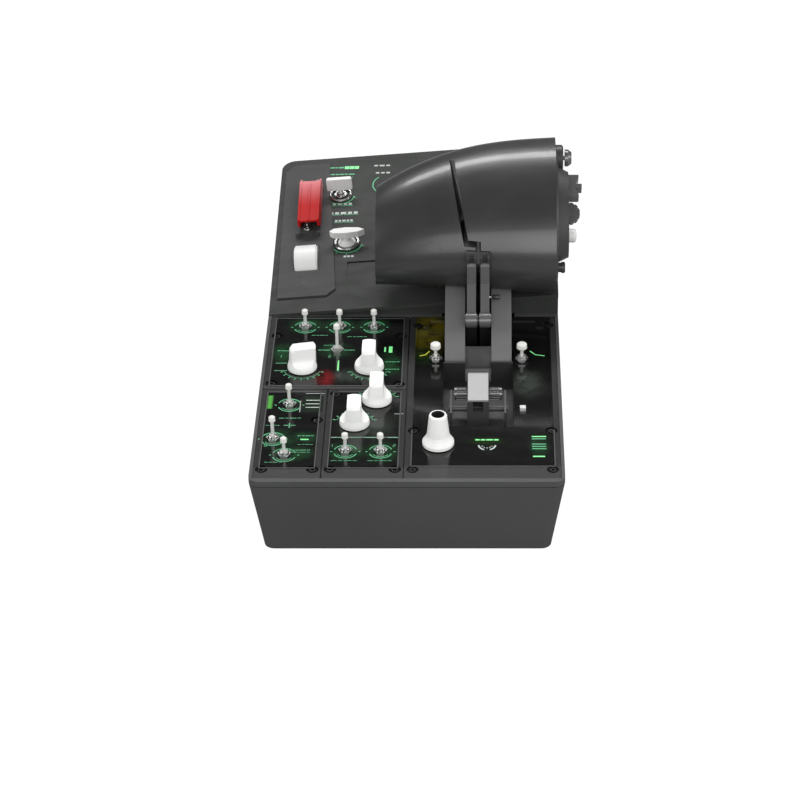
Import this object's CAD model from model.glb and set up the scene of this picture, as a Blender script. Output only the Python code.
import logging
import math
from dataclasses import dataclass, field
from enum import Enum
from typing import Any, Dict, List, Optional, Sequence, Tuple

import bpy
import numpy as np
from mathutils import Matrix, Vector


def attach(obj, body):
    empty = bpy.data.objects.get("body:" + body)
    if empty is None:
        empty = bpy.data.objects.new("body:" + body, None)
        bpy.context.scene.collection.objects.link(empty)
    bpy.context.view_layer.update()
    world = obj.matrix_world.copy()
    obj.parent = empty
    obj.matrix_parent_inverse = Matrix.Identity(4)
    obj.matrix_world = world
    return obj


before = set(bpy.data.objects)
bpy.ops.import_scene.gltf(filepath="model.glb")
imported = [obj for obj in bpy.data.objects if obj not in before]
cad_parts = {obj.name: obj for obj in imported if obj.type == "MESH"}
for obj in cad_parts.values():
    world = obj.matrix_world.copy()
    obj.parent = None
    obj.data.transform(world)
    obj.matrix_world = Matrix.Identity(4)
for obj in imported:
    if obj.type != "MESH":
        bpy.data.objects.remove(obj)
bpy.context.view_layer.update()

log = logging.getLogger("throttle_quadrant")
MM = 0.001
Colour = Tuple[float, float, float]


# ------------------------------------------------------------------ shader maths
class Wire:
    """One shader socket that can be used in sums and products.

    Attributes:
        graph: The node graph that the socket belongs to.
        socket: The output socket.
    """

    def __init__(self, graph: "Graph", socket: bpy.types.NodeSocket) -> None:
        """Keeps the socket and its graph.

        Args:
            graph: The node graph that the socket belongs to.
            socket: The output socket.
        """
        self.graph = graph
        self.socket = socket

    def _math(self, operation: str, *others: Any) -> "Wire":
        """Joins this socket and others in one Math node.

        Args:
            operation: The Math node's operation name.
            others: Sockets or numbers for the remaining inputs.

        Returns:
            The result of the operation.
        """
        return self.graph.maths(operation, self, *others)

    def __add__(self, other: Any) -> "Wire":
        """Gives the sum of this and another value.

        Args:
            other: The other term, a wire or a number.

        Returns:
            The sum.
        """
        return self._math("ADD", other)

    def __radd__(self, other: Any) -> "Wire":
        """Gives the sum of another value and this.

        Args:
            other: The other term, a wire or a number.

        Returns:
            The sum.
        """
        return self._math("ADD", other)

    def __sub__(self, other: Any) -> "Wire":
        """Gives this value less another.

        Args:
            other: The other term, a wire or a number.

        Returns:
            The difference.
        """
        return self._math("SUBTRACT", other)

    def __rsub__(self, other: Any) -> "Wire":
        """Gives another value less this.

        Args:
            other: The other term, a wire or a number.

        Returns:
            The difference.
        """
        return self.graph.maths("SUBTRACT", other, self)

    def __mul__(self, other: Any) -> "Wire":
        """Gives the product of this and another value.

        Args:
            other: The other factor, a wire or a number.

        Returns:
            The product.
        """
        return self._math("MULTIPLY", other)

    def __rmul__(self, other: Any) -> "Wire":
        """Gives the product of another value and this.

        Args:
            other: The other factor, a wire or a number.

        Returns:
            The product.
        """
        return self._math("MULTIPLY", other)

    def __truediv__(self, other: Any) -> "Wire":
        """Gives this value over another.

        Args:
            other: The other divisor, a wire or a number.

        Returns:
            The quotient.
        """
        return self._math("DIVIDE", other)

    def smallest(self, other: Any) -> "Wire":
        """Gives the smaller of this and another value.

        Args:
            other: The other value, a wire or a number.

        Returns:
            The smaller value.
        """
        return self._math("MINIMUM", other)

    def root(self) -> "Wire":
        """Gives the square root.

        Returns:
            The root of this value.
        """
        return self._math("SQRT")

    def wave(self) -> "Wire":
        """Gives the sine.

        Returns:
            The sine of this value, taken in radians.
        """
        return self._math("SINE")

    def step(self, low: float, high: float) -> "Wire":
        """Rises smoothly from 0 to 1 between two values.

        Args:
            low: Value where the rise starts.
            high: Value where the rise ends.

        Returns:
            The smooth step.
        """
        node = self.graph.node("ShaderNodeMapRange", {"Value": self, "From Min": low, "From Max": high},
                               interpolation_type="SMOOTHSTEP")
        return Wire(self.graph, node.outputs["Result"])


class Graph:
    """A node tree with short ways to add nodes.

    Attributes:
        tree: The node tree of a material or of the world.
    """

    MIX_LOW, MIX_HIGH, MIX_RESULT = 6, 7, 2

    def __init__(self, tree: bpy.types.NodeTree) -> None:
        """Clears the tree, ready for new nodes.

        Args:
            tree: The node tree of a material or of the world.
        """
        self.tree = tree
        self.tree.nodes.clear()

    def node(self, kind: str, inputs: Optional[Dict[Any, Any]] = None, **settings: Any) -> bpy.types.Node:
        """Adds a node, sets its properties first and then feeds its sockets.

        Args:
            kind: The node's type name.
            inputs: Input names or numbers, each with a wire, a number or a colour.
            settings: Property values.

        Returns:
            The new node.
        """
        made = self.tree.nodes.new(kind)
        for key, value in settings.items():
            setattr(made, key, value)
        for key, value in (inputs or {}).items():
            self.feed(made.inputs[key], value)
        return made

    def feed(self, target: bpy.types.NodeSocket, value: Any) -> None:
        """Links a wire to a socket, or writes a plain value on it.

        Args:
            target: The input socket.
            value: A wire, a number or a colour.
        """
        if isinstance(value, Wire):
            self.tree.links.new(value.socket, target)
        elif isinstance(value, tuple) and target.type == "RGBA":
            target.default_value = (*value, 1.0)
        else:
            target.default_value = value

    def maths(self, operation: str, *values: Any) -> Wire:
        """Adds one Math node.

        Args:
            operation: The operation's name.
            values: Wires or numbers.

        Returns:
            The node's result.
        """
        node = self.node("ShaderNodeMath", dict(enumerate(values)), operation=operation)
        return Wire(self, node.outputs[0])

    def spot(self) -> Wire:
        """Gives the object's own coordinates.

        Returns:
            The coordinates as one vector, in metres.
        """
        return Wire(self, self.node("ShaderNodeTexCoord").outputs["Object"])

    def place(self) -> Tuple[Wire, Wire, Wire]:
        """Gives the object's own coordinates one by one.

        Returns:
            X, Y and Z in millimetres.
        """
        split = self.node("ShaderNodeSeparateXYZ", {0: self.spot()})
        return tuple(Wire(self, split.outputs[i]) * (1.0 / MM) for i in range(3))

    def noise(self, scale: float, detail: float = 3.0, stretch: Colour = (1.0, 1.0, 1.0)) -> Wire:
        """Adds noise on the object's own coordinates.

        Args:
            scale: Noise cells per metre.
            detail: Octaves of finer noise.
            stretch: Scale factor along each axis.

        Returns:
            The noise value, about 0 to 1.
        """
        mapping = self.node("ShaderNodeMapping", {"Vector": self.spot(), "Scale": stretch})
        texture = self.node("ShaderNodeTexNoise", {"Vector": Wire(self, mapping.outputs["Vector"]),
                                                   "Scale": scale, "Detail": detail})
        return Wire(self, texture.outputs["Fac"])

    def patch(self, x: Wire, y: Wire, spot: Tuple[float, float, float, float]) -> Wire:
        """Returns a soft elliptical patch.

        With dx and dy measured in radii, the value falls from 1 to 0 as the square root of
        dx * dx + dy * dy goes from 0.15 to 1.

        Args:
            x: First coordinate in millimetres.
            y: Second coordinate in millimetres.
            spot: Centre x, centre y, radius x and radius y in millimetres.

        Returns:
            1 at the centre, 0 outside.
        """
        dx, dy = (x - spot[0]) / spot[2], (y - spot[1]) / spot[3]
        return 1.0 - (dx * dx + dy * dy).root().step(0.15, 1.0)

    def blend(self, factor: Any, low: Any, high: Any) -> Wire:
        """Mixes two colours.

        Args:
            factor: 0 gives the first colour, 1 the second.
            low: First colour.
            high: Second colour.

        Returns:
            The mixed colour.
        """
        node = self.node("ShaderNodeMix", {"Factor": factor, self.MIX_LOW: low, self.MIX_HIGH: high},
                         data_type="RGBA")
        return Wire(self, node.outputs[self.MIX_RESULT])

    def bump(self, height: Wire, strength: float, distance: float) -> Wire:
        """Turns a height into a bumped normal.

        Args:
            height: The height value.
            strength: How strong the effect is.
            distance: Depth of the relief in metres.

        Returns:
            The normal.
        """
        node = self.node("ShaderNodeBump", {"Strength": strength, "Distance": distance, "Height": height})
        return Wire(self, node.outputs["Normal"])

    def shine(self, fixed: Dict[str, float], varying: Dict[str, Wire]) -> Wire:
        """Adds one Principled shader.

        Args:
            fixed: Socket names with uniform values.
            varying: Socket names with wires.

        Returns:
            The shader's output.
        """
        return Wire(self, self.node("ShaderNodeBsdfPrincipled", {**fixed, **varying}).outputs[0])


class Coating(Graph):
    """The node tree of one new material.

    Attributes:
        material: The material.
    """

    def __init__(self, name: str) -> None:
        """Makes the material with an empty tree.

        Args:
            name: The material's name.
        """
        self.material = bpy.data.materials.new(name)
        self.material.use_nodes = True
        super().__init__(self.material.node_tree)

    def end(self, shader: Wire) -> bpy.types.Material:
        """Ends the tree in a shader.

        Args:
            shader: The shader's output.

        Returns:
            The finished material.
        """
        self.node("ShaderNodeOutputMaterial", {"Surface": shader})
        return self.material

    def surface(self, fixed: Dict[str, float], varying: Dict[str, Wire]) -> bpy.types.Material:
        """Ends the tree in one Principled shader.

        Args:
            fixed: Socket names with uniform values.
            varying: Socket names with wires.

        Returns:
            The finished material.
        """
        return self.end(self.shine(fixed, varying))


# ------------------------------------------------------------------ finishes
@dataclass(frozen=True)
class Finish:
    """A surface with mottled colour, uneven roughness and fine relief.

    Attributes:
        name: The material's name.
        dark: Darker colour of the mottling.
        light: Lighter colour of the mottling.
        roughness: Middle roughness.
        spread: How far the roughness varies.
        metallic: How metallic it is, 0 to 1.
        coat: Weight of the clear coat.
        grain: Cells of the fine grain per metre.
        relief: Strength of the grain's bump.
        cloud: Cells of the broad mottling per metre.
        stretch: Scale factor of the grain along each axis.
        specular: Level of the plain reflection, 0.5 being ordinary plastic.
    """

    name: str
    dark: Colour
    light: Colour
    roughness: float = 0.5
    spread: float = 0.08
    metallic: float = 0.0
    coat: float = 0.0
    grain: float = 2600.0
    relief: float = 0.12
    cloud: float = 14.0
    stretch: Colour = (1.0, 1.0, 1.0)
    specular: float = 0.5

    def colour(self, graph: Graph) -> Wire:
        """Mottles the base colour.

        Args:
            graph: The material's node tree.

        Returns:
            The colour.
        """
        cloud = graph.noise(self.cloud, 4.0)
        speck = graph.noise(self.grain, 1.0, self.stretch)
        return graph.blend((cloud * 0.7 + speck * 0.3).step(0.3, 0.7), self.dark, self.light)

    def sheen(self, graph: Graph) -> Wire:
        """Makes the roughness uneven, with faint smears of handling.

        Args:
            graph: The material's node tree.

        Returns:
            The roughness.
        """
        smear = graph.noise(46.0, 5.0, (1.0, 2.4, 1.0))
        return smear.step(0.35, 0.72) * self.spread + (self.roughness - self.spread * 0.4)

    def height(self, graph: Graph) -> Wire:
        """Makes the fine relief of the surface.

        Args:
            graph: The material's node tree.

        Returns:
            The height.
        """
        return graph.noise(self.grain, 2.0, self.stretch)

    def build(self) -> bpy.types.Material:
        """Makes the material.

        Returns:
            The material.
        """
        graph = Coating(self.name)
        normal = graph.bump(self.height(graph), self.relief, 0.00006)
        return graph.surface({"Metallic": self.metallic, "Coat Weight": self.coat, "Coat Roughness": 0.12,
                              "Specular IOR Level": self.specular},
                             {"Base Color": self.colour(graph), "Roughness": self.sheen(graph),
                              "Normal": normal})


@dataclass(frozen=True)
class Bordered(Finish):
    """A glossy panel inside a duller moulded border.

    Attributes:
        box: The panel's low X, low Y, high X and high Y in millimetres.
        margins: Width of the border on the left, near, right and far sides.
        border_dark: Darker colour of the border.
        border_light: Lighter colour of the border.
        strip_dark: Darker colour of the near strip.
        strip_light: Lighter colour of the near strip.
        tints: Patches of back light: centre X and Y, radii and colour.
    """

    box: Tuple[float, float, float, float] = (0.0, 0.0, 0.0, 0.0)
    margins: Tuple[float, float, float, float] = (3.0, 9.5, 3.0, 3.0)
    border_dark: Colour = (0.014, 0.015, 0.014)
    border_light: Colour = (0.02, 0.021, 0.02)
    strip_dark: Colour = (0.03, 0.031, 0.03)
    strip_light: Colour = (0.04, 0.041, 0.04)
    tints: Tuple[Tuple[float, float, float, float, Colour], ...] = ()

    def inset(self, graph: Graph) -> Wire:
        """Steps the least of the four distances from the border's inner edges.

        Args:
            graph: The material's node tree.

        Returns:
            1 on the glossy inset, 0 on the border.
        """
        x, y, _ = graph.place()
        low_x, low_y, high_x, high_y = self.box
        left, near, right, far = self.margins
        across = (x - (low_x + left)).smallest((high_x - right) - x)
        along = (y - (low_y + near)).smallest((high_y - far) - y)
        return across.smallest(along).step(-0.12, 0.12)

    def build(self) -> bpy.types.Material:
        """Makes the material.

        Returns:
            The material.
        """
        graph = Coating(self.name)
        inside = self.inset(graph)
        x, y, _ = graph.place()
        gloss = graph.blend(graph.noise(self.cloud, 3.0), self.dark, self.light)
        smoke = graph.noise(160.0, 3.0).step(0.2, 0.6)
        for tint in self.tints:
            gloss = graph.blend(graph.patch(x, y, tint[:4]) * smoke, gloss, tint[4])
        mottle = graph.noise(30.0, 4.0)
        near = (y - (self.box[1] + self.margins[1])).step(0.2, -0.2)
        border = graph.blend(near, graph.blend(mottle, self.border_dark, self.border_light),
                             graph.blend(mottle, self.strip_dark, self.strip_light))
        rough = inside * -0.6 + self.sheen(graph) + 0.6
        relief = inside * -0.85 + 1.0
        height = graph.noise(self.grain, 2.0) * relief + inside * -0.8
        return graph.surface({"Coat Weight": self.coat, "Coat Roughness": 0.08,
                              "Specular IOR Level": self.specular},
                             {"Base Color": graph.blend(inside, border, gloss), "Roughness": rough,
                              "Normal": graph.bump(height, 0.25, 0.00012)})


@dataclass(frozen=True)
class Capped(Finish):
    """A plated bat that ends in a coloured cap.

    Attributes:
        seat: Height of the cap's lower edge in millimetres.
        cap_dark: Darker colour of the cap.
        cap_light: Lighter colour of the cap.
    """

    seat: float = 60.0
    cap_dark: Colour = (0.62, 0.62, 0.59)
    cap_light: Colour = (0.76, 0.76, 0.73)

    def build(self) -> bpy.types.Material:
        """Makes the material: metal below the seat, the cap's colour above it.

        Returns:
            The material.
        """
        graph = Coating(self.name)
        _, _, z = graph.place()
        cap = (z - self.seat).step(-0.05, 0.05)
        colour = graph.blend(graph.noise(240.0, 3.0), self.cap_dark, self.cap_light)
        metal = graph.blend(graph.noise(800.0, 2.0), self.dark, self.light)
        rough = cap * 0.12 + self.sheen(graph)
        return graph.surface({"Coat Weight": self.coat},
                             {"Base Color": graph.blend(cap, metal, colour), "Roughness": rough,
                              "Metallic": (1.0 - cap) * self.metallic,
                              "Normal": graph.bump(self.height(graph), self.relief, 0.00004)})


@dataclass(frozen=True)
class Parted(Finish):
    """A finish that changes to a second pair of colours inside a box.

    Attributes:
        box: Low X, Y, Z and high X, Y, Z in millimetres.
        soft: Half the width of the change in millimetres.
        other_dark: Darker colour inside the box.
        other_light: Lighter colour inside the box.
    """

    box: Tuple[float, float, float, float, float, float] = (0.0,) * 6
    soft: float = 0.1
    other_dark: Colour = (0.01, 0.01, 0.01)
    other_light: Colour = (0.02, 0.02, 0.02)

    def inside(self, graph: Graph) -> Wire:
        """Steps the least distance from the box's six sides.

        Args:
            graph: The material's node tree.

        Returns:
            1 inside the box, 0 outside.
        """
        least = None
        for axis, low, high in zip(graph.place(), self.box[:3], self.box[3:]):
            near = (axis - low).smallest(high - axis)
            least = near if least is None else least.smallest(near)
        return least.step(-self.soft, self.soft)

    def colour(self, graph: Graph) -> Wire:
        """Mottles the colour, with the second pair inside the box.

        Args:
            graph: The material's node tree.

        Returns:
            The colour.
        """
        first = super().colour(graph)
        second = graph.blend(graph.noise(120.0, 3.0), self.other_dark, self.other_light)
        return graph.blend(self.inside(graph), first, second)


@dataclass(frozen=True)
class Bored(Parted):
    """A finish that changes inside an upright bore.

    Attributes:
        bore: Centre X and Y, radius and lowest Z in millimetres.
    """

    bore: Tuple[float, float, float, float] = (0.0, 0.0, 1.0, 0.0)

    def inside(self, graph: Graph) -> Wire:
        """Steps the distance from the bore's axis at its radius, above its lowest Z.

        Args:
            graph: The material's node tree.

        Returns:
            1 inside the bore, 0 outside.
        """
        x, y, z = graph.place()
        dx, dy = x - self.bore[0], y - self.bore[1]
        across = (dx * dx + dy * dy).root().step(self.bore[2] + self.soft, self.bore[2] - self.soft)
        return across * (z - self.bore[3]).step(0.0, self.soft)


@dataclass(frozen=True)
class Ink(Finish):
    """Back-lit printing: a mottled colour that also gives a little light.

    Attributes:
        glow: Strength of the light.
    """

    glow: float = 0.35

    def build(self) -> bpy.types.Material:
        """Makes the material.

        Returns:
            The material.
        """
        graph = Coating(self.name)
        colour = self.colour(graph)
        fade = graph.noise(420.0, 2.0).step(0.25, 0.65)
        lit = graph.blend(fade, self.dark, self.light)
        return graph.surface({"Emission Strength": self.glow},
                             {"Base Color": colour, "Emission Color": lit,
                              "Roughness": self.sheen(graph),
                              "Normal": graph.bump(self.height(graph), self.relief, 0.00003)})


@dataclass(frozen=True)
class Turned(Finish):
    """Machined metal with fine tool rings about an axis along X.

    Attributes:
        axis: Y and Z of the axis in millimetres.
        pitch: Radians of the rings' wave per millimetre.
    """

    axis: Tuple[float, float] = (0.0, 0.0)
    pitch: float = 7.0

    def height(self, graph: Graph) -> Wire:
        """Adds rings round the axis: the sine of the distance times the pitch.

        Args:
            graph: The material's node tree.

        Returns:
            The height.
        """
        _, y, z = graph.place()
        dy, dz = y - self.axis[0], z - self.axis[1]
        radius = (dy * dy + dz * dz).root()
        return (radius * self.pitch).wave() * 0.4 + graph.noise(self.grain, 2.0)


class Surfaces(Enum):
    """Named options for how a ribbon meets the face that it is printed on."""

    PRINT = 0.03
    RAISED = 0.35


class Paint:
    """Makes each finish once and hands out its material."""

    def __init__(self) -> None:
        """Starts with no materials."""
        self.made: Dict[Finish, bpy.types.Material] = {}

    def get(self, finish: Finish) -> bpy.types.Material:
        """Gives the finish's material, made on first use.

        Args:
            finish: The finish.

        Returns:
            The material.
        """
        if finish not in self.made:
            self.made[finish] = finish.build()
        return self.made[finish]

    def coat(self, finish: Finish, *names: str) -> None:
        """Gives CAD nodes a finish.

        Args:
            finish: The finish.
            names: The nodes' names.
        """
        for name in names:
            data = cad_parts[name].data
            data.materials.clear()
            data.materials.append(self.get(finish))


# ------------------------------------------------------------------ surfaces
class Skin:
    """Collects swept surfaces and turns them into one mesh object.

    Every surface is a grid: rows follow a path and columns follow a profile. Point (i, j) is
    path[i] + profile[j] laid out in the frame of the path at i.
    """

    def __init__(self) -> None:
        """Starts with no points and no faces."""
        self.points: List[np.ndarray] = []
        self.faces: List[List[int]] = []
        self.count = 0

    def grid(self, points: np.ndarray, closed: bool = True, capped: bool = True) -> "Skin":
        """Adds one grid of points.

        Face (i, j) joins points (i, j), (i, j+1), (i+1, j+1) and (i+1, j), with j taken round
        the profile when it is closed.

        Args:
            points: Array of rows by columns by 3, in metres.
            closed: Whether the columns join up.
            capped: Whether the first and last rows are filled.

        Returns:
            This collection.
        """
        rows, columns = points.shape[:2]
        i, j = np.meshgrid(np.arange(rows - 1), np.arange(columns if closed else columns - 1),
                           indexing="ij")
        after = (j + 1) % columns
        quads = np.stack([i * columns + j, i * columns + after, (i + 1) * columns + after,
                          (i + 1) * columns + j], axis=-1).reshape(-1, 4) + self.count
        self.faces += quads.tolist()
        if capped:
            first = np.arange(columns)[::-1] + self.count
            last = np.arange(columns) + (rows - 1) * columns + self.count
            self.faces += [first.tolist(), last.tolist()]
        self.points.append(points.reshape(-1, 3))
        self.count += rows * columns
        return self

    def sweep(self, path: np.ndarray, normal: np.ndarray, profile: np.ndarray) -> "Skin":
        """Sweeps a closed profile along a path.

        A profile point (s, n) goes to path[i] + s * side[i] + n * normal, where side is the
        path's direction crossed with the normal.

        Args:
            path: Path points in metres.
            normal: Unit direction that the profile's second value is laid along.
            profile: Closed outline as (side, normal) pairs in metres.

        Returns:
            This collection.
        """
        direction = np.gradient(path, axis=0)
        direction /= np.linalg.norm(direction, axis=1, keepdims=True)
        side = np.cross(direction, normal)
        side /= np.linalg.norm(side, axis=1, keepdims=True)
        points = (path[:, None, :] + side[:, None, :] * profile[None, :, :1]
                  + normal[None, None, :] * profile[None, :, 1:])
        return self.grid(points)

    def turn(self, centre: np.ndarray, axis: np.ndarray, across: np.ndarray, outline: np.ndarray,
             steps: int = 48) -> "Skin":
        """Turns an outline about an axis.

        Point (i, j) is centre + h[i] * axis + r[i] * (cos a * across + sin a * along), with a
        running once round.

        Args:
            centre: Origin of the axis in metres.
            axis: Unit axis.
            across: Unit direction square to the axis.
            outline: (radius, height) pairs in metres.
            steps: Points round the axis.

        Returns:
            This collection.
        """
        angle = np.linspace(0.0, 2.0 * np.pi, steps, endpoint=False)
        along = np.cross(axis, across)
        round_axis = np.cos(angle)[:, None] * across + np.sin(angle)[:, None] * along
        points = (centre + outline[:, 1][:, None, None] * axis
                  + outline[:, 0][:, None, None] * round_axis[None, :, :])
        return self.grid(points)

    def build(self, name: str, material: bpy.types.Material, smooth: bool = False) -> bpy.types.Object:
        """Makes the mesh object.

        Args:
            name: The object's name.
            material: Its material.
            smooth: Whether faces are shaded smooth.

        Returns:
            The object, at the origin.
        """
        mesh = bpy.data.meshes.new(name)
        mesh.from_pydata(np.concatenate(self.points).tolist(), [], self.faces)
        mesh.polygons.foreach_set("use_smooth", np.full(len(self.faces), smooth))
        mesh.materials.append(material)
        mesh.update()
        made = bpy.data.objects.new(name, mesh)
        bpy.context.scene.collection.objects.link(made)
        return made


@dataclass(frozen=True)
class Plane:
    """A working plane: millimetres across and away become metres in the part's frame.

    Attributes:
        origin: The plane's zero in millimetres.
        right: Unit direction across.
        away: Unit direction away.
        up: Unit direction square to the plane.
    """

    origin: Tuple[float, float, float]
    right: Colour = (1.0, 0.0, 0.0)
    away: Colour = (0.0, 1.0, 0.0)
    up: Colour = (0.0, 0.0, 1.0)

    @classmethod
    def tilted(cls, origin: Tuple[float, float, float], roll: float, pitch: float) -> "Plane":
        """Makes a plane that is pitched up at its far side and rolled down to the left.

        Args:
            origin: The plane's zero in millimetres.
            roll: Roll in degrees.
            pitch: Pitch in degrees.

        Returns:
            The plane.
        """
        r, p = math.radians(roll), math.radians(pitch)
        right = (math.cos(r), 0.0, math.sin(r))
        away = (-math.sin(r) * math.sin(p), math.cos(p), math.cos(r) * math.sin(p))
        up = (-math.sin(r) * math.cos(p), -math.sin(p), math.cos(r) * math.cos(p))
        return cls(origin, right, away, up)

    def place(self, flat: np.ndarray, height: float = 0.0) -> np.ndarray:
        """Lifts flat (across, away) points into the part's frame.

        Args:
            flat: Points in millimetres.
            height: Height over the plane in millimetres.

        Returns:
            Points in metres.
        """
        origin, right, away, up = (np.array(v) for v in (self.origin, self.right, self.away, self.up))
        return (origin + flat[:, :1] * right + flat[:, 1:] * away + height * up) * MM


class Pen:
    """Draws printed strokes on a plane, all in one ink.

    Attributes:
        plane: The plane that the strokes lie on.
        width: Stroke width in millimetres.
        lift: How the strokes stand over the face.
        skin: The strokes' surfaces.
    """

    GAP = 0.012

    DIGITS = {"0": "abcdef", "1": "bc", "2": "abged"}
    BARS = {"a": ((0, 2), (1, 2)), "b": ((1, 2), (1, 1)), "c": ((1, 1), (1, 0)), "d": ((0, 0), (1, 0)),
            "e": ((0, 1), (0, 0)), "f": ((0, 2), (0, 1)), "g": ((0, 1), (1, 1))}

    def __init__(self, plane: Plane, width: float = 0.45, lift: Surfaces = Surfaces.PRINT) -> None:
        """Starts with no strokes.

        Args:
            plane: The plane that the strokes lie on.
            width: Stroke width in millimetres.
            lift: How the strokes stand over the face.
        """
        self.plane, self.width, self.lift = plane, width, lift
        self.skin = Skin()

    def stroke(self, points: Sequence[Tuple[float, float]], width: Optional[float] = None) -> "Pen":
        """Draws one stroke through points.

        Args:
            points: (across, away) in millimetres.
            width: Stroke width, or the pen's own.

        Returns:
            This pen.
        """
        half, high = (width or self.width) / 2 * MM, self.lift.value * MM
        profile = np.array([(-half, 0.0), (-half, high), (half, high), (half, 0.0)])
        path = self.plane.place(np.array(points, float), self.GAP)
        self.skin.sweep(path, np.array(self.plane.up), profile)
        return self

    def arc(self, x: float, y: float, radius: float, start: float, end: float,
            width: Optional[float] = None) -> "Pen":
        """Draws an arc, with angles in degrees from the right, turning away.

        Args:
            x: The centre's place across in millimetres.
            y: The centre's place away in millimetres.
            radius: Radius in millimetres.
            start: First angle.
            end: Last angle.
            width: Stroke width, or the pen's own.

        Returns:
            This pen.
        """
        angle = np.radians(np.linspace(start, end, max(6, int(abs(end - start) / 6))))
        return self.stroke(np.stack([x + radius * np.cos(angle), y + radius * np.sin(angle)], 1), width)

    def ticks(self, x: float, y: float, inner: float, outer: float, start: float, end: float,
              count: int, width: Optional[float] = None) -> "Pen":
        """Draws short lines pointing at a centre, evenly spaced between two angles.

        Args:
            x: The centre's place across in millimetres.
            y: The centre's place away in millimetres.
            inner: Radius where the lines start.
            outer: Radius where they end.
            start: First angle in degrees.
            end: Last angle in degrees.
            count: Number of lines.
            width: Stroke width, or the pen's own.

        Returns:
            This pen.
        """
        for angle in np.radians(np.linspace(start, end, count)):
            way = np.array([math.cos(angle), math.sin(angle)])
            self.stroke([tuple((x, y) + way * inner), tuple((x, y) + way * outer)], width)
        return self

    def dashes(self, x: float, y: float, length: float, lean: float, pattern: Sequence[float],
               width: Optional[float] = None) -> "Pen":
        """Draws a broken bar: alternate parts of the pattern are drawn and left bare.

        Args:
            x: The bar's start across in millimetres.
            y: The bar's start away in millimetres.
            length: Length across in millimetres.
            lean: How far its end lies away from its start.
            pattern: Lengths of the parts in any unit.
            width: Stroke width, or the pen's own.

        Returns:
            This pen.
        """
        total, spot = float(sum(pattern)), 0.0
        for i, part in enumerate(pattern):
            after = spot + part / total
            if i % 2 == 0:
                self.stroke([(x + length * spot, y + lean * spot), (x + length * after, y + lean * after)],
                            width)
            spot = after
        return self

    def number(self, digit: str, x: float, y: float, size: float) -> "Pen":
        """Draws a plain numeral from straight bars.

        Args:
            digit: The numeral.
            x: Its lower left corner across in millimetres.
            y: Its lower left corner away in millimetres.
            size: Its height in millimetres.

        Returns:
            This pen.
        """
        for name in self.DIGITS[digit]:
            (x0, y0), (x1, y1) = self.BARS[name]
            self.stroke([(x + x0 * size * 0.5, y + y0 * size * 0.5),
                         (x + x1 * size * 0.5, y + y1 * size * 0.5)], size * 0.13)
        return self

    def finish(self, name: str, material: bpy.types.Material, body: str = "base") -> bpy.types.Object:
        """Makes the strokes into one object that rides on a CAD body.

        Args:
            name: The object's name.
            material: Its ink.
            body: The CAD body.

        Returns:
            The object.
        """
        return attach(self.skin.build(name, material), body)


# ------------------------------------------------------------------ finish library
SHELL = Finish("shell_plastic", (0.044, 0.044, 0.045), (0.052, 0.052, 0.053), 0.66, 0.1,
               relief=0.3, specular=0.4)
RIM = Finish("rim_plastic", (0.054, 0.055, 0.055), (0.066, 0.067, 0.067), 0.5, 0.1,
             relief=0.25, specular=0.22)
CONSOLE = Finish("console_plastic", (0.026, 0.028, 0.026), (0.038, 0.041, 0.038), 0.58, 0.12,
                 relief=0.3, specular=0.22)
STRIP = Finish("strip_plastic", (0.042, 0.042, 0.042), (0.056, 0.056, 0.056), 0.58, 0.1,
               relief=0.3, specular=0.22)
COVER = Parted("cover_plastic", (0.105, 0.106, 0.105), (0.13, 0.131, 0.129), 0.5, 0.1, relief=0.22,
               box=(32.3, -80.0, 40.0, 48.5, -33.0, 90.0), soft=0.3,
               other_dark=(0.012, 0.012, 0.012), other_light=(0.02, 0.02, 0.02))
TRAY = Finish("tray_plastic", (0.012, 0.012, 0.013), (0.02, 0.02, 0.021), 0.55, 0.1)
GRIP = Finish("grip_satin", (0.024, 0.024, 0.025), (0.034, 0.034, 0.035), 0.33, 0.06, coat=0.3, relief=0.03)
POD = Finish("pod_plastic", (0.03, 0.03, 0.031), (0.045, 0.045, 0.046), 0.45, 0.1)
LEVER = Finish("lever_paint", (0.022, 0.022, 0.023), (0.036, 0.036, 0.037), 0.4, 0.1, coat=0.15)
LIFT = Finish("lift_metal", (0.085, 0.086, 0.085), (0.12, 0.121, 0.12), 0.34, 0.1, metallic=0.2, coat=0.2)
STEEL = Finish("plated_steel", (0.55, 0.55, 0.54), (0.7, 0.7, 0.69), 0.24, 0.12, metallic=1.0,
               stretch=(1.0, 1.0, 6.0))
NICKEL = Finish("nickel_bushing", (0.42, 0.43, 0.42), (0.6, 0.6, 0.59), 0.3, 0.14, metallic=1.0)
SCREW = Finish("black_screw", (0.012, 0.012, 0.013), (0.03, 0.03, 0.03), 0.36, 0.14, metallic=0.7)
RUBBER = Finish("foot_rubber", (0.008, 0.008, 0.008), (0.016, 0.016, 0.016), 0.85, 0.08, relief=0.5)
PLATE = Finish("powder_coat", (0.018, 0.018, 0.019), (0.03, 0.03, 0.031), 0.6, 0.1, relief=0.5)
BOARD = Finish("solder_mask", (0.01, 0.07, 0.03), (0.02, 0.11, 0.05), 0.35, 0.1, coat=0.3)
IVORY = Finish("ivory_plastic", (0.8, 0.805, 0.785), (0.86, 0.865, 0.845), 0.42, 0.1, relief=0.14)
PALE = Finish("pale_plastic", (0.62, 0.62, 0.61), (0.7, 0.7, 0.69), 0.42, 0.1, relief=0.12)
RED = Parted("guard_red", (0.3, 0.004, 0.004), (0.4, 0.008, 0.008), 0.45, 0.08, relief=0.05, specular=0.12,
             box=(-100.0, 122.0, 0.0, 0.0, 200.0, 200.0), soft=20.0,
             other_dark=(0.6, 0.2, 0.22), other_light=(0.68, 0.27, 0.29))
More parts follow.
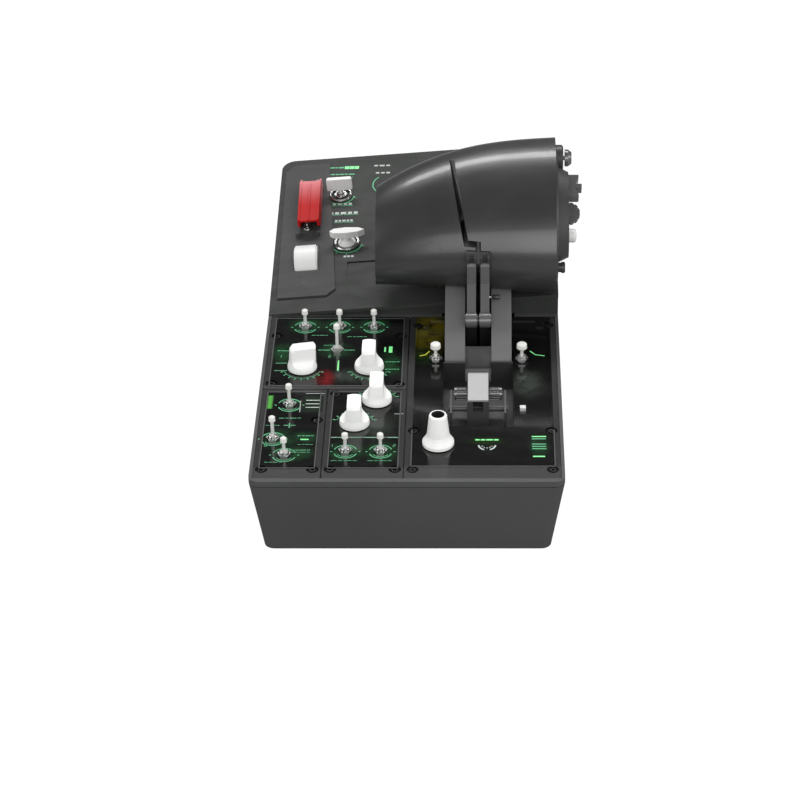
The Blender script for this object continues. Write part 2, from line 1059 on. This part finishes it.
DARK = Finish("dark_control", (0.02, 0.02, 0.021), (0.035, 0.035, 0.036), 0.38, 0.1, coat=0.2)
THUMB = Finish("thumb_metal", (0.14, 0.14, 0.14), (0.24, 0.24, 0.24), 0.3, 0.1, metallic=0.6)
SILVER = Finish("silver_button", (0.5, 0.5, 0.49), (0.62, 0.62, 0.61), 0.35, 0.1, metallic=0.4)
LENS = Parted("window_lens", (0.006, 0.012, 0.007), (0.012, 0.022, 0.013), 0.12, 0.06, coat=0.4,
              box=(-84.2, -94.0, 40.0, -81.4, -80.0, 60.0), soft=0.8,
              other_dark=(0.05, 0.26, 0.04), other_light=(0.12, 0.44, 0.08))
GREEN = Ink("green_ink", (0.03, 0.2, 0.09), (0.08, 0.36, 0.17), 0.45, 0.1, glow=0.28)
BRIGHT = Ink("bright_ink", (0.1, 0.5, 0.14), (0.2, 0.68, 0.26), 0.45, 0.1, glow=0.5)
YELLOW = Ink("yellow_ink", (0.42, 0.4, 0.03), (0.6, 0.56, 0.05), 0.45, 0.1, glow=0.5)
GREY = Ink("grey_ink", (0.3, 0.34, 0.32), (0.45, 0.5, 0.47), 0.5, 0.1, glow=0.1)
BLACK = Ink("black_ink", (0.01, 0.01, 0.01), (0.02, 0.02, 0.02), 0.5, 0.1, glow=0.0)

GLOW = (0.012, 0.045, 0.018)
HAZE = (0.03, 0.036, 0.031)
EMBER = (0.14, 0.008, 0.01)
AMBER = (0.09, 0.075, 0.004)
MOSS = (0.012, 0.03, 0.006)

NEAR_EDGE = -170.5
DECK_TOP = 46.3
RECESS_TOP = 45.4
CONSOLE_ROLL, CONSOLE_PITCH = 4.65, 8.0

DECK = Plane((0.0, NEAR_EDGE, DECK_TOP))
RECESS = Plane((0.0, NEAR_EDGE, RECESS_TOP))
SLOPE = Plane.tilted((0.0, 10.9, 54.5), CONSOLE_ROLL, CONSOLE_PITCH)


# ------------------------------------------------------------------ sub-assemblies
@dataclass
class Assembly:
    """One group of the product's pieces.

    Attributes:
        paint: The shared store of materials.
        made: Objects that this group has built.
    """

    paint: Paint
    made: List[bpy.types.Object] = field(default_factory=list)

    def build(self) -> "Assembly":
        """Makes the group's own surfaces.

        Returns:
            This group.
        """
        return self

    def dress(self) -> "Assembly":
        """Gives the group's CAD nodes their finishes.

        Returns:
            This group.
        """
        return self


@dataclass
class Housing(Assembly):
    """Lower shell, top frame, bottom plate and feet."""

    def dress(self) -> "Housing":
        """Gives the housing its finishes.

        Returns:
            This group.
        """
        self.paint.coat(SHELL, "housing_tub")
        self.paint.coat(RIM, "top_frame")
        self.paint.coat(PLATE, "bottom_plate", "quadrant_frame")
        self.paint.coat(RUBBER, "rubber_feet")
        self.paint.coat(BOARD, "circuit_boards")
        self.paint.coat(STEEL, "usb_socket", "pivot_shaft", "lever_bearings")
        self.paint.coat(SCREW, "screws")
        return self


@dataclass(frozen=True)
class PanelShape:
    """One deck panel.

    Attributes:
        node: The CAD node.
        low: Near left corner, across and away in millimetres.
        high: Far right corner, across and away in millimetres.
        margins: Width of the border on the left, near, right and far sides.
        tints: Patches of back light: centre, radii and colour.
    """

    node: str
    low: Tuple[float, float]
    high: Tuple[float, float]
    margins: Tuple[float, float, float, float]
    tints: Tuple[Tuple[float, float, float, float, Colour], ...] = ()


@dataclass
class Deck(Assembly):
    """Four switch panels with their toggles, knobs and printing.

    Attributes:
        panels: The panels' shapes.
        toggles: Node name with across, away and the cap middle's height over the deck.
        cap_height: Height of the toggles' caps.
        knobs: Across and away of each pointer knob, with its scale's first and last angle.
        tall: Across and away of the tall knob.
        ring: Radius of the printed rings round the toggles.
        dial: Radius of the printed scales round the knobs.
    """

    panels: Tuple[PanelShape, ...] = (
        PanelShape("panel_lower_left", (-88.0, 3.6), (-49.6, 97.0), (3.4, 10.4, 3.4, 3.0),
                   ((-75.0, 44.0, 14.0, 14.0, GLOW), (-66.0, 29.0, 17.0, 10.0, GLOW),
                    (-60.0, 46.0, 11.0, 8.0, GLOW), (-58.0, 81.0, 13.0, 12.0, HAZE))),
        PanelShape("panel_lower_middle", (-48.6, 3.6), (-2.4, 97.0), (3.0, 10.4, 3.0, 3.0),
                   ((-36.4, 31.0, 15.0, 14.0, GLOW), (-15.3, 31.0, 14.0, 14.0, GLOW),
                    (-24.0, 58.0, 24.0, 24.0, HAZE))),
        PanelShape("panel_upper_left", (-88.0, 97.9), (-2.4, 180.6), (3.4, 3.0, 3.0, 0.0),
                   ((-66.0, 170.0, 15.0, 12.0, GLOW), (-45.5, 169.0, 14.0, 12.0, GLOW),
                    (-24.3, 170.0, 14.0, 12.0, GLOW), (-77.5, 138.0, 11.0, 15.0, GLOW),
                    (-46.0, 141.0, 14.0, 12.0, GLOW), (-12.5, 126.0, 10.0, 18.0, GLOW),
                    (-36.0, 112.0, 16.0, 12.0, HAZE), (-51.5, 109.0, 8.0, 14.0, EMBER))),
        PanelShape("panel_right", (-1.6, 3.6), (88.0, 180.6), (3.6, 12.4, 3.4, 0.0),
                   ((8.0, 160.0, 17.0, 32.0, AMBER), (16.0, 172.0, 10.0, 18.0, AMBER),
                    (8.0, 138.0, 12.0, 14.0, MOSS), (75.8, 37.0, 8.0, 14.0, GLOW),
                    (45.6, 42.0, 14.0, 6.0, MOSS), (70.0, 105.0, 13.0, 22.0, HAZE))),
    )
    toggles: Tuple[Tuple[str, float, float, float], ...] = (
        ("toggle_back_left", -66.4, 168.0, 11.0),
        ("toggle_back_middle", -45.1, 168.0, 11.0),
        ("toggle_back_right", -23.9, 168.0, 11.0),
        ("toggle_long", -45.5, 141.0, 17.0),
        ("toggle_left_upper", -71.0, 80.0, 13.0),
        ("toggle_left_side", -78.5, 44.0, 14.0),
        ("toggle_left_front", -71.0, 27.5, 10.5),
        ("toggle_middle_left", -36.0, 31.0, 11.0),
        ("toggle_middle_right", -15.7, 31.0, 11.0),
        ("toggle_right_inner", 14.6, 131.0, 9.5),
        ("toggle_right_outer", 66.8, 131.0, 9.5),
    )
    knobs: Tuple[Tuple[float, float, float, float], ...] = (
        (-65.7, 121.0, 200.0, 340.0), (-25.3, 121.0, 200.0, 340.0),
        (-19.5, 85.0, 20.0, 160.0), (-31.8, 60.0, 20.0, 160.0))
    cap_height: float = 3.6
    tall: Tuple[float, float] = (17.4, 38.7)
    ring: float = 6.7
    dial: float = 11.4

    def build(self) -> "Deck":
        """Prints the scales, rings, bars and numerals, and threads the bushings.

        Returns:
            This group.
        """
        self._borders()
        self._left_printing()
        self._right_printing()
        self._threads()
        return self

    def _borders(self) -> None:
        """Lays a fine raised lip round each panel's glossy inset."""
        pen = Pen(DECK, 0.7, Surfaces.RAISED)
        for panel in self.panels[:3]:
            left, near, right, far = panel.margins
            x0, y0 = panel.low[0] + left, panel.low[1] + near
            x1, y1 = panel.high[0] - right, panel.high[1] - max(far, 2.2)
            for ends in (((x0, y0), (x1, y0)), ((x0, y1), (x1, y1)), ((x0, y0), (x0, y1)),
                         ((x1, y0), (x1, y1))):
                pen.stroke(ends)
        pen.stroke([(2.0, 15.8), (84.6, 15.8)]).stroke([(2.0, 15.8), (2.0, 53.0)])
        pen.stroke([(84.6, 15.8), (84.6, 53.0)])
        self.made.append(pen.finish("panel_lips", self.paint.get(RIM)))

    def _left_printing(self) -> None:
        """Prints the left panels."""
        green, bright, grey = Pen(DECK, 0.7), Pen(DECK), Pen(DECK, 0.35)
        for node, x, y, _ in self.toggles[:9]:
            if node == "toggle_long":
                continue
            green.arc(x, y, self.ring, 200, 340).arc(x, y, self.ring, 20, 160)
            green.arc(x, y, self.ring - 1.5, 215, 325, 0.4).arc(x, y, self.ring - 1.5, 35, 145, 0.4)
            green.ticks(x, y, self.ring + 0.8, self.ring + 2.0, 0, 180, 3)
        for x, y, start, end in self.knobs:
            green.arc(x, y, self.dial, start, end, 0.35)
            green.ticks(x, y, self.dial + 0.5, self.dial + 2.3, start, end, 9)
        rows = ((-81.9, 140.6, 7.0, 0.9), (-57.1, 141.4, 9.0, 0.9), (-41.5, 141.4, 6.6, 0.9),
                (-82.0, 126.5, 6.6, 0.7), (-82.4, 118.0, 7.6, 0.7), (-54.0, 147.0, 7.0, 0.5),
                (-16.0, 128.0, 8.6, 0.7), (-15.8, 119.6, 8.6, 0.7), (-62.0, 158.6, 10.0, 0.5),
                (-40.0, 157.0, 12.0, 0.5), (-64.7, 47.4, 9.8, 0.6), (-68.2, 32.6, 11.9, 0.6),
                (-68.2, 30.4, 11.9, 0.4), (-64.0, 38.4, 9.0, 0.4), (-83.6, 58.4, 8.0, 0.4),
                (-45.0, 45.5, 39.0, 0.5), (-44.0, 21.8, 15.0, 0.4), (-23.0, 21.8, 14.0, 0.4),
                (-76.4, 66.0, 13.0, 0.5), (-82.0, 20.2, 10.0, 0.4))
        for x, y, length, width in rows:
            green.dashes(x, y, length, 0.0, (3, 0.7, 2, 0.5, 4, 0.6, 2), width)
        green.stroke([(-73.2, 58.4), (-66.4, 58.4)], 0.6).stroke([(-69.8, 55.8), (-69.8, 61.0)], 0.6)
        green.number("1", -80.6, 133.0, 2.6).number("2", -50.6, 133.0, 2.6)
        green.number("0", -83.0, 36.4, 2.6).number("1", -45.0, 36.2, 2.4).number("2", -8.6, 36.2, 2.4)
        bright.stroke([(-16.4, 139.4), (-16.4, 144.8)], 1.0).stroke([(-13.0, 138.6), (-13.0, 145.6)], 2.2)
        bright.stroke([(-62.5, 43.6), (-57.8, 43.6)], 1.1)
        bright.stroke([(-44.2, 118.0), (-44.2, 129.4)], 0.9)
        for y in (77.6, 81.4, 85.2):
            grey.stroke([(-61.4, y), (-53.0, y)], 0.7)
        grey.stroke([(-64.6, 72.4), (-64.6, 84.6)], 0.4).stroke([(-62.0, 92.6), (-50.6, 92.6)], 0.4)
        grey.stroke([(-45.0, 45.9), (-6.0, 45.9)], 0.3).stroke([(-8.8, 70.6), (-3.4, 70.6)], 0.5)
        self.made.append(green.finish("deck_printing_green", self.paint.get(GREEN)))
        self.made.append(bright.finish("deck_printing_bright", self.paint.get(BRIGHT)))
        self.made.append(grey.finish("deck_printing_grey", self.paint.get(GREY)))

    def _right_printing(self) -> None:
        """Prints the right panel: arcs, stacked bars and the two zigzags."""
        green, bright, grey = Pen(DECK), Pen(DECK), Pen(DECK)
        bright.dashes(38.8, 43.2, 13.5, 0.0, (2, 0.5, 2, 0.5, 3, 0.5, 2), 1.3)
        for start, end in ((180, 250), (290, 360)):
            grey.arc(45.6, 37.6, 4.8, start, end, 1.0)
        grey.ticks(45.6, 37.6, 2.2, 3.6, 200, 340, 5, 0.4)
        bright.stroke([(71.6, 46.6), (79.9, 46.6)], 1.0).stroke([(72.0, 26.1), (78.9, 26.1)], 1.2)
        for y in (44.2, 38.8, 36.4, 34.0):
            green.stroke([(71.6, y), (79.8, y)], 0.9)
        self.made.append(green.finish("right_printing_green", self.paint.get(GREEN)))
        self.made.append(bright.finish("right_printing_bright", self.paint.get(BRIGHT)))
        self.made.append(grey.finish("right_printing_grey", self.paint.get(GREY)))
        zigzag = Pen(RECESS, 0.7).stroke([(4.9, 136.3), (8.3, 137.4), (10.6, 141.6)])
        self.made.append(zigzag.finish("yellow_zigzag", self.paint.get(YELLOW)))
        zigzag = Pen(RECESS, 0.7).stroke([(72.0, 141.8), (75.0, 137.6), (80.6, 136.3)])
        self.made.append(zigzag.finish("green_zigzag", self.paint.get(BRIGHT)))

    def _threads(self) -> None:
        """Cuts thread crests round the toggles' bushings.

        The crests' outline is a chain of small vees, with radius 2.70 and 2.86 mm by turns.
        """
        skin = Skin()
        turns = np.arange(7)
        radius = np.where(turns % 2 == 0, 2.70, 2.86)
        heights = 1.45 + turns * 0.2
        outline = np.stack([np.concatenate([[2.5], radius, [2.5]]),
                            np.concatenate([[1.42], heights, [2.68]])], 1) * MM
        for _, x, y, _ in self.toggles:
            centre = DECK.place(np.array([[x, y]]))[0]
            skin.turn(centre, np.array([0.0, 0.0, 1.0]), np.array([1.0, 0.0, 0.0]), outline, 28)
        self.made.append(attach(skin.build("bushing_threads", self.paint.get(NICKEL), True), "base"))

    def dress(self) -> "Deck":
        """Gives panels, toggles, knobs and lenses their finishes.

        Returns:
            This group.
        """
        for panel in self.panels:
            box = (panel.low[0], panel.low[1] + NEAR_EDGE, panel.high[0], panel.high[1] + NEAR_EDGE)
            self.paint.coat(Bordered("gloss_" + panel.node, (0.003, 0.0035, 0.003),
                                     (0.006, 0.0065, 0.006), 0.14, 0.05, coat=0.2, grain=900.0, specular=0.3,
                                     box=box, margins=panel.margins,
                                     tints=tuple((x, y + NEAR_EDGE, rx, ry, colour)
                                                 for x, y, rx, ry, colour in panel.tints)), panel.node)
        for node, _, _, middle in self.toggles:
            seat = DECK_TOP + middle - self.cap_height / 2
            cap = Capped("bat_" + node, (0.7, 0.71, 0.69), (0.86, 0.87, 0.85), 0.24, 0.08, metallic=0.35,
                         coat=0.3, seat=seat)
            self.paint.coat(cap, node)
        self.paint.coat(NICKEL, "deck_switches")
        self.paint.coat(IVORY, "knob_upper_left", "knob_upper_right", "knob_middle_right",
                        "knob_middle_left")
        x, y = self.tall
        self.paint.coat(Bored("tall_ivory", IVORY.dark, IVORY.light, 0.42, 0.1, relief=0.14, soft=0.15,
                              bore=(x, y + NEAR_EDGE, 3.9, 52.0)), "knob_tall")
        self.paint.coat(SILVER, "square_button")
        self.paint.coat(LENS, "indicator_windows")
        self.paint.coat(PLATE, "rotary_pots")
        return self


@dataclass
class Console(Assembly):
    """Sloping rear cover with its raised strip, guard, drum, switches and printing.

    Attributes:
        wide: Across, away and ring radius of the wide toggle.
        selector: Across, away and ring radius of the selector.
    """

    wide: Tuple[float, float, float] = (-48.4, 119.0, 7.5)
    selector: Tuple[float, float, float] = (-43.0, 67.3, 8.4)

    def build(self) -> "Console":
        """Prints the rows beside the switches.

        Returns:
            This group.
        """
        green, bright, pale, black = Pen(SLOPE), Pen(SLOPE), Pen(SLOPE, 0.5), Pen(SLOPE, 0.5)
        word = (3, 0.6, 2, 0.5, 3, 0.5, 2, 0.6, 4)
        green.dashes(-62.0, 150.8, 15.0, -1.1, word, 1.4)
        bright.dashes(-46.6, 149.5, 9.4, -0.8, (3, 0.3, 3, 0.3, 3), 3.0)
        green.dashes(-56.0, 143.0, 16.0, -1.4, word, 1.2).dashes(-56.0, 139.4, 15.0, -1.2, word, 0.6)
        for across, away, length, width in ((-56.6, 110.0, 15.6, 2.0), (-55.4, 100.2, 18.4, 2.2),
                                            (-51.5, 91.8, 11.5, 2.0)):
            pale.dashes(across, away, length, -length * 0.05, (1, 0.5, 1, 0.5, 1.4, 0.5, 1, 0.5, 1), width)
            green.dashes(across - 0.6, away - 1.8, length + 1.2, -length * 0.05, (3, 0.4, 3), 0.5)
        green.stroke([(-54.9, 87.5), (-54.7, 80.0)], 0.8).stroke([(-53.8, 59.8), (-51.8, 59.7)], 1.8)
        pale.dashes(-44.9, 53.8, 6.4, -0.4, (1, 0.4, 1, 0.4, 1), 1.7)
        for x, y, radius in (self.wide, self.selector):
            green.arc(x, y, radius + 1.5, 190, 350, 0.7).ticks(x, y, radius + 2.4, radius + 3.6, 200, 340, 5)
        pale.dashes(-27.0, 149.4, 10.4, -0.8, (1, 0.5, 1.4, 0.5, 1), 1.5)
        pale.dashes(-25.9, 141.2, 9.4, -0.7, (1, 0.5, 1, 0.5, 1), 1.5)
        green.arc(-17.0, 128.0, 10.6, 130, 245, 0.8)
        pale.stroke([(-55.6, 32.4), (-55.9, 41.8)], 0.7).stroke([(-53.8, 38.6), (-54.0, 41.8)], 0.7)
        self.made.append(green.finish("console_printing_green", self.paint.get(GREEN)))
        self.made.append(bright.finish("console_printing_bright", self.paint.get(BRIGHT)))
        self.made.append(pale.finish("console_printing_pale", self.paint.get(GREY)))
        for across in (-71.4, -69.2, -67.3):
            start = SLOPE.place(np.array([[across, 26.8]]), 1.2)[0] / MM
            black.plane = Plane.tilted(tuple(start), CONSOLE_ROLL, CONSOLE_PITCH)
            black.stroke([(0.0, 0.0), (0.2, 2.6)], 0.9)
        self.made.append(black.finish("strip_marks", self.paint.get(BLACK)))
        return self

    def dress(self) -> "Console":
        """Gives the console's pieces their finishes.

        Returns:
            This group.
        """
        self.paint.coat(CONSOLE, "console_cover")
        self.paint.coat(STRIP, "console_sub_panel")
        self.paint.coat(RED, "switch_guard")
        self.paint.coat(STEEL, "guard_base", "guarded_toggle")
        self.paint.coat(NICKEL, "console_bushings")
        self.paint.coat(PALE, "console_drum", "paddle_toggle", "selector_knob")
        return self


@dataclass
class Throttle(Assembly):
    """Quadrant cover, levers, finger lifts, grip halves and thumb controls.

    Attributes:
        pivot: Y and Z of the levers' axis in millimetres.
        pin_radius: Distance of the cross pin from that axis.
        pin_lean: Angle of the cross pin forward of upright in degrees.
    """

    pivot: Tuple[float, float] = (11.5, 16.6)
    pin_radius: float = 60.6
    pin_lean: float = 21.5

    def build(self) -> "Throttle":
        """Adds the small cross pin with its dark head at the foot of the right lift.

        Returns:
            This group.
        """
        y, z = self.pivot
        lean = math.radians(self.pin_lean)
        centre = np.array([0.0, y - self.pin_radius * math.sin(lean), z + self.pin_radius * math.cos(lean)])
        shank = np.array([(1e-3, 44.6), (0.8, 44.6), (0.8, 49.4), (1e-3, 49.4)])
        head = np.array([(1e-3, 49.0), (1.2, 49.0), (1.55, 49.4), (1.55, 53.2), (1.2, 53.7), (1e-3, 53.7)])
        for name, outline, finish in (("cross_pin", shank, STEEL), ("cross_pin_head", head, DARK)):
            skin = Skin().turn(centre * MM, np.array([1.0, 0.0, 0.0]), np.array([0.0, 1.0, 0.0]),
                               outline * MM, 32)
            self.made.append(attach(skin.build(name, self.paint.get(finish), True), "right_lift"))
        return self

    def dress(self) -> "Throttle":
        """Gives the throttle's pieces their finishes.

        Returns:
            This group.
        """
        self.paint.coat(COVER, "quadrant_cover")
        self.paint.coat(LEVER, "left_lever", "right_lever")
        self.paint.coat(LIFT, "left_finger_lift", "right_finger_lift")
        self.paint.coat(GRIP, "left_grip", "right_grip")
        self.paint.coat(POD, "thumb_pod")
        self.paint.coat(THUMB, "thumb_hat", "thumb_rocker", "thumb_wheel")
        self.paint.coat(PALE, "thumb_button")
        return self


@dataclass
class Adjuster(Assembly):
    """Friction adjuster in its tray.

    Attributes:
        axle: Y and Z of the thumb wheels' axle in millimetres.
    """

    axle: Tuple[float, float] = (-81.0, 48.2)

    def dress(self) -> "Adjuster":
        """Gives the adjuster's pieces their finishes.

        Returns:
            This group.
        """
        self.paint.coat(TRAY, "well_tray")
        self.paint.coat(Turned("turned_wheels", (0.1, 0.1, 0.1), (0.16, 0.16, 0.16), 0.28, 0.1,
                               metallic=0.7, axis=self.axle), "tension_wheels")
        self.paint.coat(Finish("bracket_zinc", (0.045, 0.045, 0.046), (0.07, 0.07, 0.071), 0.42, 0.12,
                               metallic=0.3), "adjuster_bracket")
        self.paint.coat(Finish("paddle_plastic", (0.26, 0.26, 0.26), (0.34, 0.34, 0.34), 0.5, 0.1,
                               relief=0.1), "friction_paddle")
        return self


# ------------------------------------------------------------------ studio
@dataclass(frozen=True)
class Lamp:
    """A soft area light.

    Attributes:
        name: The light's name.
        place: Its place in metres.
        aim: The point that it faces.
        size: Its width and height in metres.
        power: Its power in watts.
        colour: Its colour.
    """

    name: str
    place: Tuple[float, float, float]
    aim: Tuple[float, float, float]
    size: Tuple[float, float]
    power: float
    colour: Colour = (1.0, 1.0, 1.0)

    def build(self) -> bpy.types.Object:
        """Makes the light.

        Returns:
            The light's object.
        """
        data = bpy.data.lights.new(self.name, "AREA")
        data.shape = "RECTANGLE"
        data.size, data.size_y = self.size
        data.energy, data.color = self.power, self.colour
        lamp = bpy.data.objects.new(self.name, data)
        lamp.location = self.place
        way = Vector(self.aim) - Vector(self.place)
        lamp.rotation_euler = way.to_track_quat("-Z", "Y").to_euler()
        bpy.context.scene.collection.objects.link(lamp)
        return lamp


@dataclass
class Studio(Assembly):
    """White sweep, soft lights and the camera.

    Attributes:
        lamps: The lights.
        floor_height: Height of the floor in metres.
        white: Strength of the floor's own white, as the camera sees it.
        surround: Colour of the surround.
        mirrored: Colour of the surround in reflections.
        eye: The camera's place in metres.
        tilt: The camera's rotation about X in degrees.
        lens: Focal length in millimetres on a 36 mm sensor.
        shift: The camera's sideways shift.
    """

    lamps: Tuple[Lamp, ...] = (
        Lamp("top_back", (0.0, 0.85, 1.3), (0.0, 0.0, 0.05), (1.5, 0.26), 18.0),
        Lamp("left_soft", (-1.5, -0.5, 0.9), (0.0, 0.0, 0.05), (0.8, 0.8), 9.0),
        Lamp("right_soft", (1.5, -0.4, 0.8), (0.0, 0.0, 0.05), (0.8, 0.8), 9.0),
        Lamp("front_soft", (0.3, -1.75, 1.0), (0.0, 0.0, 0.06), (1.8, 1.0), 22.0),
    )
    floor_height: float = -0.0021
    white: float = 1.05
    surround: Colour = (0.45, 0.45, 0.45)
    mirrored: Colour = (0.07, 0.07, 0.07)
    eye: Tuple[float, float, float] = (0.0427, -1.4314, 0.9207)
    tilt: float = 57.0
    lens: float = 121.95
    shift: float = -0.1025

    def build(self) -> "Studio":
        """Makes the sweep, lights, world and camera.

        Returns:
            This group.
        """
        self._sweep()
        for lamp in self.lamps:
            self.made.append(lamp.build())
        self._world()
        self._camera()
        bpy.context.scene.view_settings.view_transform = "Standard"
        return self

    def _sweep(self) -> None:
        """Makes the floor: flat near the part, then rising behind it.

        Point (i, j) has x = x[i], y = y[j] and z = 0.25 * max(0, y - 1.6) squared.
        """
        x, y = np.meshgrid(np.linspace(-4.0, 4.0, 40), np.linspace(-4.0, 5.0, 60), indexing="ij")
        z = 0.25 * np.maximum(0.0, y - 1.6) ** 2 + self.floor_height
        points = np.stack([x, y, z], -1)
        graph = Coating("white_sweep")
        tone = graph.blend(graph.noise(3.0, 2.0), (0.30, 0.30, 0.30), (0.34, 0.34, 0.34))
        matt = graph.shine({"Roughness": 0.9}, {"Base Color": tone})
        white = Wire(graph, graph.node("ShaderNodeEmission", {"Strength": self.white}).outputs[0])
        seen = Wire(graph, graph.node("ShaderNodeLightPath").outputs["Is Camera Ray"])
        mix = graph.node("ShaderNodeMixShader", {0: seen, 1: matt, 2: white})
        graph.end(Wire(graph, mix.outputs[0]))
        floor = Skin().grid(points, closed=False, capped=False).build("sweep", graph.material, True)
        self.made.append(floor)

    def _world(self) -> None:
        """Sets an even surround that is pale to the eye and dim in reflections."""
        world = bpy.data.worlds.new("surround")
        world.use_nodes = True
        graph = Graph(world.node_tree)
        mirrored = Wire(graph, graph.node("ShaderNodeLightPath").outputs["Is Glossy Ray"])
        tone = graph.blend(mirrored, self.surround, self.mirrored)
        background = graph.node("ShaderNodeBackground", {"Color": tone, "Strength": 1.0})
        graph.node("ShaderNodeOutputWorld", {"Surface": Wire(graph, background.outputs[0])})
        bpy.context.scene.world = world

    def _camera(self) -> None:
        """Sets the camera."""
        data = bpy.data.cameras.new("camera")
        data.lens, data.sensor_width, data.shift_x = self.lens, 36.0, self.shift
        camera = bpy.data.objects.new("camera", data)
        camera.location = self.eye
        camera.rotation_euler = (math.radians(self.tilt), 0.0, 0.0)
        bpy.context.scene.collection.objects.link(camera)
        bpy.context.scene.camera = camera


def main() -> None:
    """Builds and dresses every group in order."""
    logging.basicConfig(level=logging.INFO, format="%(name)s: %(message)s")
    paint = Paint()
    for kind in (Housing, Deck, Console, Throttle, Adjuster, Studio):
        group = kind(paint).build().dress()
        log.info("%s: %d new objects", kind.__name__.lower(), len(group.made))
    log.info("%d finishes", len(paint.made))


if __name__ == "__main__":
    main()
